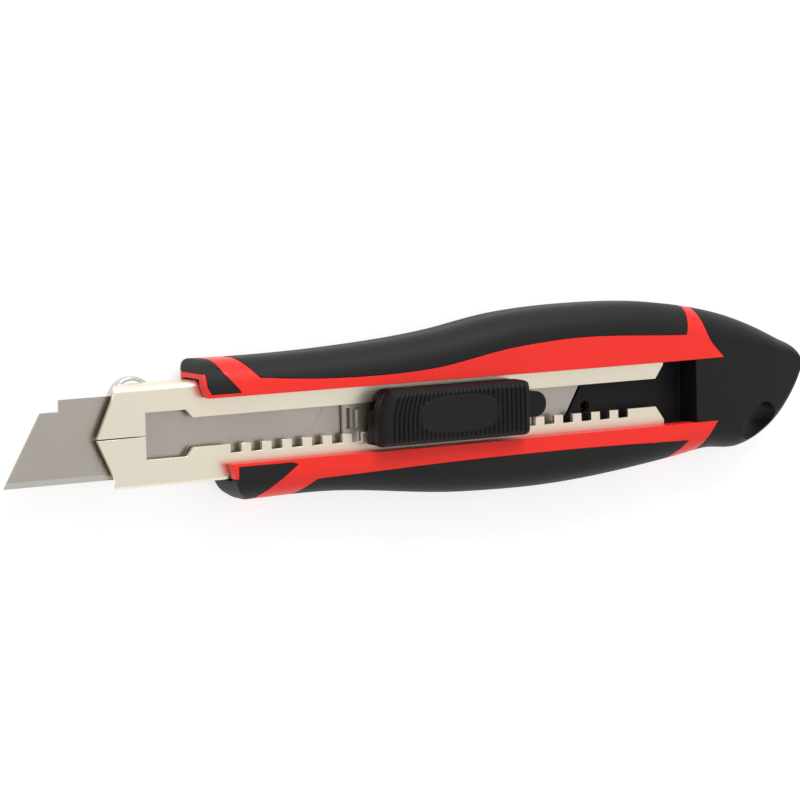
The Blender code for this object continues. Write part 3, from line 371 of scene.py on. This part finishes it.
def make_blade(name, node, body, drilled):
    low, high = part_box(node)
    tip, middle = low.x, (low.z + high.z) / 2
    stations = [0.0]
    for i in range(1, int(blade_length / score_pitch)):
        at = i * score_pitch
        stations += [at - score_width, at - score_width / 5, at + score_width / 5, at + score_width]
    stations.append(blade_length)
    rows = [(-blade_half, keen), (-blade_half + ground_width, blade_thick), (blade_half, blade_thick)]
    points, wide = [], len(rows)
    for k, at in enumerate(stations):
        scored = score_depth if k % 4 in (2, 3) and 0 < k < len(stations) - 1 else 0.0
        for side in (1, -1):
            for y, thick in rows:
                dip = scored * min(1.0, thick / blade_thick)
                points.append((tip + at + (y + blade_half) * blade_slant, y, middle + side * (thick / 2 - dip)))
    faces, grinds, ring = [], [], 2 * wide
    for k in range(len(stations) - 1):
        here, on = k * ring, (k + 1) * ring
        for j in range(wide - 1):
            faces.append((here + j, on + j, on + j + 1, here + j + 1))
            faces.append((here + wide + j + 1, on + wide + j + 1, on + wide + j, here + wide + j))
            grinds += [j == 0, j == 0]
        faces.append((here + wide, on + wide, on, here))
        faces.append((here + wide - 1, on + wide - 1, on + ring - 1, here + ring - 1))
        grinds += [True, False]
    last = (len(stations) - 1) * ring
    faces += [(0, 1, 2, 5, 4, 3), tuple(last + i for i in (3, 4, 5, 2, 1, 0))]
    grinds += [False, False]
    blade = solid(name, points, faces)
    blade.data.materials.append(blade_steel)
    blade.data.materials.append(ground_steel)
    blade.data.polygons.foreach_set("material_index", [int(ground) for ground in grinds])
    top_edge = tip + (2 * blade_half - 2.5 * MM) * blade_slant
    notch = block("corner_notch", top_edge - past, top_edge + 4.3 * MM, blade_half - 2.5 * MM, blade_half + past,
                  middle - MM, middle + MM)
    cuts = [notch]
    if drilled:
        rear = tip + blade_length + blade_half * blade_slant - 6 * MM
        cuts.append(prism("blade_hole", circle(rear, 0.0, 1.7 * MM), middle - MM, middle + MM))
    return fit(shape(blade, cut=cuts, edge=0.03 * MM, angle=50), node, body)


make_blade("ground_blade", "blade", "slider", drilled=True)
for i in (1, 2):
    make_blade(f"ground_spare_{i}", f"spare_blade_{i}", "handle", drilled=False)


# Magazine spring, blade carrier, lock pawl and its spring. They are pressed from thin steel and lie inside the
# channel; only the carrier's bent tab shows, in the slot before the slider.
carrier_steel = finish("carrier_steel", (0.54, 0.50, 0.45), 0.36, patch=(150, 0.2), grain=(2500, 2500, 2500),
                       shade=0.12, gloss=0.15, depth=0.004 * MM, Metallic=1.0)
for node, metal in (
    ("magazine_spring", bright), ("blade_carrier", carrier_steel), ("lock_pawl", bright), ("pawl_spring", bright),
):
    piece = nodes[node]
    piece.data.materials.clear()
    piece.data.materials.append(metal)


# Handle. One hard red moulding with a trough for the channel and a rail over each of its lips. The rails run back
# into the cap as two points, and shallow pockets take the soft grips.
core_low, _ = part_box("handle_core")
_, cap_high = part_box("end_cap")
front, end = core_low.x, cap_high.x
rail_half = 7.3 * MM
gap = 0.3 * MM  # between pieces that touch
rail_back = lip_front + gap
rail_front = rail_back + 2.8 * MM
floor_front = channel_back - gap
front_wall = channel_half + 4.2 * MM
upper_side, lower_side = channel_half + 10.6 * MM, channel_half + 7.9 * MM
set_back = 7.0 * MM
back_rounding, front_rounding, face_rounding = 5.0 * MM, 6.3 * MM, 4.5 * MM
outside, above = upper_side + past, rail_front + 4 * MM
skin = 1.8 * MM
joint_gap = 0.04 * MM


def curve(knots, steps):
    """A smooth open path through the knots."""
    knots = [Vector(knot) for knot in knots]
    slopes = []
    for i, knot in enumerate(knots):
        before, after = knots[max(i - 1, 0)], knots[min(i + 1, len(knots) - 1)]
        near, far = (knot - before).length, (after - knot).length
        if near == 0 or far == 0:
            slopes.append((after - before).normalized())
        else:
            slopes.append(((knot - before) / near * far + (after - knot) / far * near) / (near + far))
    path = [knots[0]]
    for one, two, leave, arrive in zip(knots, knots[1:], slopes, slopes[1:]):
        third = (two - one).length / 3
        handles = [one, one + leave * third, two - arrive * third, two]
        path += [p.to_2d() for p in interpolate_bezier(*[h.to_3d() for h in handles], steps + 1)[1:]]
    return path


def inset(outline, distance):
    """A closed anticlockwise outline moved inwards."""
    points = np.array([tuple(point) for point in outline])
    back = points - np.roll(points, 1, axis=0)
    back /= np.linalg.norm(back, axis=1)[:, None]
    on = np.roll(back, -1, axis=0)
    inward = np.stack([-back[:, 1] - on[:, 1], back[:, 0] + on[:, 0]], axis=1)
    inward /= np.linalg.norm(inward, axis=1)[:, None]
    lean = inward[:, 0] * -back[:, 1] + inward[:, 1] * back[:, 0]
    return points + inward * (distance / lean)[:, None]


def handle_outline():
    knots = [
        (front - 8 * MM, -front_wall - 1.3 * MM), (front + 14 * MM, -front_wall - 0.7 * MM),
        (front + 30 * MM, -front_wall - 0.5 * MM), (end - 96 * MM, -lower_side + 0.2 * MM),
        (end - 74 * MM, -lower_side), (end - 39 * MM, -lower_side + 3.4 * MM),
        (end - 28.9 * MM, -lower_side + 4.8 * MM), (end - 19.5 * MM, -lower_side + 4.5 * MM),
        (end - 10.2 * MM, -lower_side + 8.7 * MM), (end - 4.5 * MM, -lower_side + 14.6 * MM),
        (end - 1.2 * MM, 1.2 * MM), (end, 4.2 * MM), (end - 1.7 * MM, upper_side - 14.3 * MM),
        (end - 7.8 * MM, upper_side - 11.0 * MM), (end - 21 * MM, upper_side - 5.5 * MM),
        (end - 39 * MM, upper_side - 1.4 * MM), (end - 64 * MM, upper_side), (end - 84 * MM, upper_side - 1.0 * MM),
        (end - 102 * MM, upper_side - 3.9 * MM), (front + 32 * MM, front_wall + 0.4 * MM),
        (front + 10 * MM, front_wall), (front - 8 * MM, front_wall + 0.4 * MM),
    ]
    return curve(knots, 10)


def draw_in(outline, distance):
    """The handle's outline moved inwards, less towards its pointed end; its open front stays in place."""
    outline = np.array([tuple(point) for point in outline])
    near = np.clip((outline[:, 0] - end) / (22 * MM) + 1, 0, 1)
    drawn = outline + (inset(outline, distance) - outline) * (1 - 0.7 * near)[:, None]
    drawn[[0, -1], 0] = outline[[0, -1], 0]
    return drawn


def crown(x):
    """How far the front of the handle stands above its height at the nose end."""
    belly = end - 64 * MM
    rising = 1.2 * MM * (1 - np.cos(np.pi * np.clip((x - front) / (belly - front), 0, 1))) / 2
    falling = 1.2 * MM - 4.7 * MM * np.clip((x - belly) / (end - belly), 0, 1) ** 3
    return np.where(x < belly, rising, falling)


def handle_form(name, depth=0.0, steps=12):
    """The outer form of handle and cap together, set in by a depth on every side."""
    outline = draw_in(handle_outline(), depth)
    back_round, front_round = back_rounding - depth, front_rounding - depth
    rings = []
    for step in range(steps + 1):
        turn = math.pi / 2 * step / steps
        edge = draw_in(outline, back_round * (1 - math.sin(turn)))
        rings.append([(x, y, depth + back_round * (1 - math.cos(turn))) for x, y in edge])
    for step in range(steps + 1):
        turn = math.pi / 2 * step / steps
        edge = draw_in(outline, front_round * (1 - math.cos(turn)))
        z = rail_front - depth - front_round * (1 - math.sin(turn))
        rings.append([(x, y, z + crown(x)) for x, y in edge])
    return loft(name, rings, across=True)


def front_boundary():
    """What is left out before the handle: its lower side starts further back than the upper one."""
    lower, out = front + set_back, front_wall + 4 * MM
    corner = curve([
        (lower + 0.4 * MM, -channel_half - 1.0 * MM), (lower + 1.4 * MM, -channel_half - 2.6 * MM),
        (lower + 5.0 * MM, -front_wall - 1.0 * MM),
    ], 8)
    shoulder = curve([
        (front, front_wall - 2.2 * MM), (front + 0.25 * MM, front_wall - 1.0 * MM),
        (front + 1.0 * MM, front_wall - 0.1 * MM), (front + 2.2 * MM, front_wall + 0.5 * MM),
    ], 6)
    return [
        (nose - past, out), (nose - past, -out), (lower + 7 * MM, -out), *corner[::-1],
        (lower, -channel_half + MM), (front, channel_half - MM), *shoulder, (front + 2.2 * MM, out),
    ]


def front_crop(name, behind=0.0, steps=10):
    """Cuts away what lies before the handle, or a depth behind its front; the faces' back edge is round."""
    levels = [(-past, face_rounding)]
    for step in range(steps + 1):
        turn = math.pi / 2 * step / steps
        levels.append((face_rounding * (1 - math.cos(turn)), face_rounding * (1 - math.sin(turn))))
    levels.append((above, 0.0))
    return loft(name, [[(x + behind + back, y, z) for x, y in front_boundary()] for z, back in levels])


def cap_boundary(clearance):
    """What the cap takes of the handle's form."""
    upper_tip, lower_tip = channel_rear + 14.9 * MM + clearance, channel_rear + 12.8 * MM + clearance
    plug, half = channel_rear + 4.3 * MM + clearance, rail_half - clearance
    upper = curve([
        (upper_tip - 7.2 * MM, outside), (upper_tip - 6.6 * MM, half + 12 * MM),
        (upper_tip - 4.2 * MM, half + 4.6 * MM),
        (upper_tip, half),
    ], 10)
    lower = curve([
        (lower_tip, -half), (lower_tip - 1.4 * MM, -half - 2.0 * MM), (lower_tip - 3.9 * MM, -half - 6.2 * MM),
        (lower_tip - 12 * MM, -outside),
    ], 10)
    return [(end + past, -outside), (end + past, outside), *upper, (plug, half), (plug, -half), *lower]


def grip_regions():
    """Each soft grip's outline from above."""
    half, rim, lower, out = rail_half, 0.7 * MM, front + set_back, front_wall + 6 * MM
    upper_edge = curve([
        (front + 13.7 * MM, half + 3.6 * MM), (front + 23 * MM, half + 2.8 * MM), (front + 36 * MM, half + 2.2 * MM),
        (end - 104.6 * MM, half + 2.8 * MM), (end - 83.6 * MM, half + 6.1 * MM), (end - 70 * MM, half + 7.1 * MM),
        (end - 37.2 * MM, half + 5.9 * MM),
    ], 12)
    lower_edge = curve([
        (end - 36.8 * MM, -half - 4.0 * MM), (end - 60 * MM, -half - 3.5 * MM), (end - 97 * MM, -half - 3.7 * MM),
        (front + 27.2 * MM, -half - 4.9 * MM),
    ], 12)
    return {
        "grip_upper": [
            *upper_edge, (end - 35.6 * MM, half + 12.7 * MM), (end - 35.4 * MM, outside), (front + 7.5 * MM, outside),
            (front + 9.5 * MM, front_wall + 0.2 * MM),
        ],
        "grip_lower": [
            *lower_edge, (front + 22.4 * MM, -front_wall - 0.5 * MM), (front + 20.0 * MM, -outside),
            (end - 49.5 * MM, -outside),
        ],
        "grip_nose_upper": [
            (front + rim, half + 5.2 * MM), (front + rim, half + 2.4 * MM), (front + 1.7 * MM, half + rim),
            (front + 9.0 * MM, half + rim), (front + 5.2 * MM, half + 5.0 * MM), (front + 3.4 * MM, front_wall + rim),
            (front + 1.5 * MM, out), (front - 9 * MM, out), (front - 6 * MM, half + 5.2 * MM),
        ],
        "grip_nose_lower": [
            (lower + rim, -half - rim), (lower + rim, -half - 3.4 * MM), (lower - 4 * MM, -half - 4.2 * MM),
            (lower - 4 * MM, -out), (lower + 3.5 * MM, -out), (lower + 6.8 * MM, -front_wall + 0.4 * MM),
            (lower + 15.2 * MM, -half - 1.2 * MM), (lower + 13.8 * MM, -half - rim),
        ],
    }


def grip_bed(name, depth):
    """What lies under a grip; the two nose grips also wrap the handle's front faces."""
    bed = handle_form(name + "_bed", depth)
    if "nose" not in name:
        return bed
    return shape(bed, cut=[front_crop(name + "_wrap", depth)], edge=0)


def trough():
    side = channel_half + 0.3 * MM
    return block("trough", nose, end, -side, side, floor_front, rail_back)


def make_handle():
    cuts = [
        front_crop("front_crop"), prism("rear_crop", cap_boundary(0.0), -past, above), trough(),
        block("opening", nose, end, -rail_half, rail_half, rail_back - gap, above),
    ]
    for name, region in grip_regions().items():
        pocket = prism(name + "_pocket", region, -past, above)
        cuts.append(shape(pocket, cut=[grip_bed(name, skin + joint_gap)], edge=0))
    for end_name in ("front", "rear"):
        low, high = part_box("channel_rivet_" + end_name)
        x, head = (low.x + high.x) / 2, (high.x - low.x) / 2
        cuts.append(prism("rivet_shank", circle(x, 0.0, 1.8 * MM), -past, floor_front + past))
        cuts.append(prism("rivet_sink", circle(x, 0.0, head + gap), -past, 2.1 * MM))
    return shape(handle_form("moulded_handle"), cut=cuts, edge=0.12 * MM, merge=0.15 * MM)


red = finish("red_plastic", (0.77, 0.024, 0.016), 0.36, patch=(35, 0.06), grain=(2600, 2600, 2600), shade=0.05,
             gloss=0.12, depth=0.006 * MM, Specular_IOR_Level=0.25)
fit(make_handle(), "handle_core", "handle", red)


# Soft grips. Four skins of black thermoplastic rubber, moulded over the handle into its pockets, with a matt, finely
# pebbled surface.
rubber = finish("soft_grip", (0.006, 0.0062, 0.0055), 0.55, patch=(60, 0.3), grain=(4200, 4200, 4200), shade=0.25,
                gloss=0.25, depth=0.02 * MM, Specular_IOR_Level=0.26)
for name, region in grip_regions().items():
    skin_cut = [grip_bed(name, skin), front_crop(name + "_front"), trough()]
    blank = prism("moulded_" + name, inset(region, joint_gap), -past, above)
    grip = shape(blank, keep=[handle_form(name + "_outside")], cut=skin_cut, edge=0.14 * MM)
    fit(grip, name, "handle", rubber)


# Slider. A hard black foot runs in the channel's slot and carries a soft ribbed thumb piece with a plain panel in
# its middle; its long round lug keeps it straight behind.
slider_black = finish("black_plastic", (0.004, 0.004, 0.0045), 0.45, patch=(60, 0.2), grain=(3000, 3000, 3000),
                      shade=0.15, gloss=0.2, depth=0.01 * MM, Specular_IOR_Level=0.22)
_, base_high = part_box("slider_base")
thumb_low, thumb_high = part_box("slider_thumb_piece")
slider_front, slider_rear, slider_half = thumb_low.x, thumb_high.x, thumb_high.y
nose_round = (4.6 * MM, 8.2 * MM)  # the upper front corner: along the slider, and across it
front_corner, rear_corner = 1.2 * MM, 2.2 * MM
rib_pitch, rib_depth = 1.16 * MM, 0.55 * MM
panel_half = (9.6 * MM, 3.9 * MM)


def corner_drop(reach, along, across):
    """How far an elliptical corner falls in from the side, at a distance from its end."""
    share = np.clip(1 - reach / along, 0, 1)
    return across * (1 - np.sqrt(1 - share ** 2))


def slider_sides(x):
    """The slider's lower and upper sides at each x; its upper front corner is swept back."""
    rear = corner_drop(slider_rear - x, rear_corner, rear_corner)
    lower = -slider_half + corner_drop(x - slider_front, front_corner, front_corner) + rear
    upper = slider_half - corner_drop(x - slider_front, *nose_round) - rear
    return lower, upper


def end_spread(count):
    """Shares from 0 to 1, closer together towards both ends."""
    share = np.linspace(0, 1, count)
    return 0.6 * share + 0.4 * (1 - np.cos(np.pi * share)) / 2


def slider_outline(inside=0.0):
    x = slider_front + (slider_rear - slider_front) * (1 - np.cos(np.pi * np.linspace(0, 1, 81))) / 2
    lower, upper = slider_sides(x)
    return inset([*zip(x, lower), *zip(x[::-1], upper[::-1])], inside)


def rounded(corners, radius, steps=8):
    outline = []
    for i, corner in enumerate(corners):
        corner = Vector(corner)
        back = (Vector(corners[i - 1]) - corner).normalized()
        on = (Vector(corners[(i + 1) % len(corners)]) - corner).normalized()
        lean = back.angle(on) / 2
        centre = corner + (back + on).normalized() * radius / math.sin(lean)
        start = corner + back * radius / math.tan(lean) - centre
        turn = start.angle_signed(corner + on * radius / math.tan(lean) - centre)
        for step in range(steps + 1):
            angle = math.atan2(start.y, start.x) - turn * step / steps
            outline.append((centre.x + radius * math.cos(angle), centre.y + radius * math.sin(angle)))
    return outline


def make_slider_base():
    z_low, z_high = rail_back, base_high.z
    key_half = slot_half - 0.3 * MM
    pawl_low, pawl_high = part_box("lock_pawl")
    _, spring_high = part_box("pawl_spring")
    key = [(spring_high.x + 0.6 * MM, -key_half), (base_high.x, -key_half), (base_high.x, key_half),
           (spring_high.x + 0.6 * MM, key_half)]
    key = prism("key", rounded(key, key_half - 0.1 * MM), lip_back, z_low + 1.5 * MM)
    pocket = block("pocket", pawl_low.x - 0.3 * MM, spring_high.x + 0.4 * MM, pawl_low.y - 0.4 * MM,
                   key_half + 1.2 * MM, z_low - MM, pawl_high.z + 0.3 * MM)
    holes = []
    for node in ("carrier_rivet_front", "carrier_rivet_rear"):
        low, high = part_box(node)
        shank_hole = circle((low.x + high.x) / 2, 0.0, 1.5 * MM)
        holes.append(prism("rivet_hole", shank_hole, lip_back - MM, high.z + 0.2 * MM))
    plate = prism("moulded_slider_base", slider_outline(0.15 * MM), z_low, z_high)
    return shape(plate, join=[key], cut=[pocket, *holes], edge=0.16 * MM)


def make_thumb_piece():
    stations, across = 380, 84
    x = slider_front + (slider_rear - slider_front) * end_spread(stations)
    lower, upper = slider_sides(x)
    share = end_spread(across)
    y = lower[:, None] + (upper - lower)[:, None] * share[None, :]
    x = np.repeat(x[:, None], across, axis=1)

    swept = slider_front + nose_round[0] * (1 - np.sqrt(np.clip(
        1 - np.clip((y - slider_half + nose_round[1]) / nose_round[1], 0, 1) ** 2, 0, 1)))
    from_front = x - swept
    from_side = np.minimum(y + slider_half, slider_half - y)
    from_rear = slider_rear - x

    def shoulder(reach, width, power):
        return (1 - (1 - np.clip(reach / width, 0, 1)) ** power) ** (1 / power)

    tall, skirt = thumb_high.z - thumb_low.z, 1.3 * MM
    rise = shoulder(from_front, 2.6 * MM, 1.8) * shoulder(from_side, 1.7 * MM, 2.0)
    rise = rise * shoulder(from_rear, 2.0 * MM, 2.0)
    dip = 0.35 * MM * np.exp(-((x - (slider_front + slider_rear) / 2) / (9 * MM)) ** 2)
    z = thumb_low.z + skirt + (tall - skirt - dip) * rise

    middle = (slider_front + slider_rear) / 2
    along = (x - slider_front) / (slider_rear - slider_front)
    rib_line = x - (swept - slider_front) * np.clip(1 - 1.5 * along, 0, 1)
    groove = (0.5 + 0.5 * np.cos(2 * np.pi * rib_line / rib_pitch)) ** 1.6
    panel = np.abs((x - middle) / panel_half[0]) ** 3 + np.abs(y / panel_half[1]) ** 3
    ribbed = np.clip((panel - 1) / 0.25, 0, 1) * np.clip((from_front - 1.4 * MM) / (0.6 * MM), 0, 1)
    ribbed *= np.clip((from_rear - 1.1 * MM) / (0.5 * MM), 0, 1)
    z -= rib_depth * groove * ribbed
    z -= 0.12 * MM * np.clip(1 - panel, 0, 1) ** 0.5

    points = [tuple(p) for p in np.stack([x, y, z], axis=2).reshape(-1, 3)]
    last, side = stations - 1, across - 1
    faces = [(i * across + j, (i + 1) * across + j, (i + 1) * across + j + 1, i * across + j + 1)
             for i in range(last) for j in range(side)]
    rim = [i * across for i in range(stations)] + [last * across + j for j in range(1, across)]
    rim += [i * across + side for i in range(last - 1, -1, -1)] + list(range(side - 1, 0, -1))
    foot = len(points)
    points += [(points[k][0], points[k][1], thumb_low.z) for k in rim]
    count = len(rim)
    faces += [(foot + i, foot + (i + 1) % count, rim[(i + 1) % count], rim[i]) for i in range(count)]
    faces.append([foot + count - 1 - i for i in range(count)])
    return solid("ribbed_thumb_piece", points, faces)


slider_rubber = finish("slider_rubber", (0.0045, 0.0045, 0.0055), 0.5, patch=(80, 0.2), grain=(3600, 3600, 3600),
                       shade=0.2, gloss=0.2, depth=0.01 * MM, Specular_IOR_Level=0.25)
fit(make_slider_base(), "slider_base", "slider", slider_black)
fit(make_thumb_piece(), "slider_thumb_piece", "slider", slider_rubber)


# End cap. A black moulding that closes the magazine: a tongue runs in under the blades, a spigot fits the trough, and
# an oval hole near its lower corner takes a lanyard.
def make_cap():
    step = channel_rear + 6.6 * MM
    plug_front, plug_rear = channel_rear + 0.3 * MM, channel_rear + 16.9 * MM
    half, side = rail_half - 0.3 * MM, channel_half - 0.3 * MM
    joins = [
        block("plug", plug_front, plug_rear, -half, half, channel_back, lip_front),
        block("spigot", plug_front, plug_rear, -side, side, channel_back + 0.3 * MM, lip_back),
    ]
    spare_low, spare_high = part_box("spare_blade_1")[0].z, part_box("spare_blade_2")[1].z
    tongue_half, tongue_front = 8.25 * MM, channel_rear - 27.5 * MM
    lower = tongue_front + (blade_half - tongue_half) * blade_slant
    upper = tongue_front + (blade_half + tongue_half) * blade_slant
    tongue = [(lower, -tongue_half), (channel_rear + 2 * MM, -tongue_half), (channel_rear + 2 * MM, tongue_half),
              (upper, tongue_half)]
    joins.append(prism("tongue", tongue, spare_low, spare_high))
    tilt, reach, radius = math.radians(34), 2.6 * MM, 2.85 * MM
    oval = []
    for way in (1, -1):
        for i in range(17):
            turn = tilt - way * math.pi / 2 + math.pi * i / 16
            oval.append((end - 16.1 * MM + way * reach * math.cos(tilt) + radius * math.cos(turn),
                         -8.4 * MM + way * reach * math.sin(tilt) + radius * math.sin(turn)))
    cuts = [
        block("step", channel_rear - past, step, -rail_half, rail_half, spare_high, above),
        prism("tongue_hole", circle(tongue_front + 7.8 * MM, -2.2 * MM, 1.25 * MM), spare_low - MM, lip_back),
        prism("lanyard_hole", oval, -past, above),
    ]
    blank = shape(handle_form("moulded_end_cap"), keep=[prism("cap_region", cap_boundary(0.06 * MM), -past, above)],
                  edge=0)
    return shape(blank, join=joins, cut=cuts, edge=0.14 * MM)


cap_black = finish("cap_black", (0.0042, 0.0042, 0.0042), 0.5, patch=(50, 0.2), grain=(3600, 3600, 3600), shade=0.2,
                   gloss=0.2, depth=0.014 * MM, Specular_IOR_Level=0.24)
fit(make_cap(), "end_cap", "cap", cap_black)


# Table, light and camera. The knife lies on its flat back on a plain white table, in soft light from all round with
# one large panel above the handle's upper side.
table = block("table", -4, 4, -4, 4, -0.02, -0.0003)
table.data.shade_flat()
table_white = bpy.data.materials.new("table_white")
table_white.use_nodes = True
table_values = {"Base Color": (0.42, 0.42, 0.42, 1), "Roughness": 0.8, "Specular IOR Level": 0.0,
                "Emission Color": (1, 1, 1, 1), "Emission Strength": 0.66}
for socket, value in table_values.items():
    table_white.node_tree.nodes["Principled BSDF"].inputs[socket].default_value = value
table.data.materials.append(table_white)

world = bpy.data.worlds.new("soft_room")
world.use_nodes = True
world.node_tree.nodes["Background"].inputs["Color"].default_value = (1, 1, 1, 1)
world.node_tree.nodes["Background"].inputs["Strength"].default_value = 0.85
bpy.context.scene.world = world


def panel(name, place, aim, size, power):
    light = bpy.data.lights.new(name, "AREA")
    light.shape, light.size, light.energy = "DISK", size, power
    lamp = bpy.data.objects.new(name, light)
    lamp.location = place
    lamp.rotation_euler = (Vector(aim) - Vector(place)).to_track_quat("-Z", "Y").to_euler()
    bpy.context.scene.collection.objects.link(lamp)


panel("upper_panel", (0.05, 0.75, 0.55), (0, 0, 0), 0.5, 5.0)
bpy.context.scene.view_settings.view_transform = "Standard"

lens = bpy.data.cameras.new("bench_camera")
lens.sensor_width, lens.lens = 36.0, 166.06
lens.clip_start, lens.clip_end = 0.01, 20.0
bench_camera = bpy.data.objects.new("bench_camera", lens)
bench_camera.matrix_world = Matrix((
    (0.8659, 0.07273, -0.49491, -0.43521),
    (-0.02478, 0.9944, 0.10277, 0.08722),
    (0.49961, -0.07673, 0.86285, 0.71686),
    (0, 0, 0, 1),
))
bpy.context.scene.collection.objects.link(bench_camera)
bpy.context.scene.camera = bench_camera

bpy.context.view_layer.update()
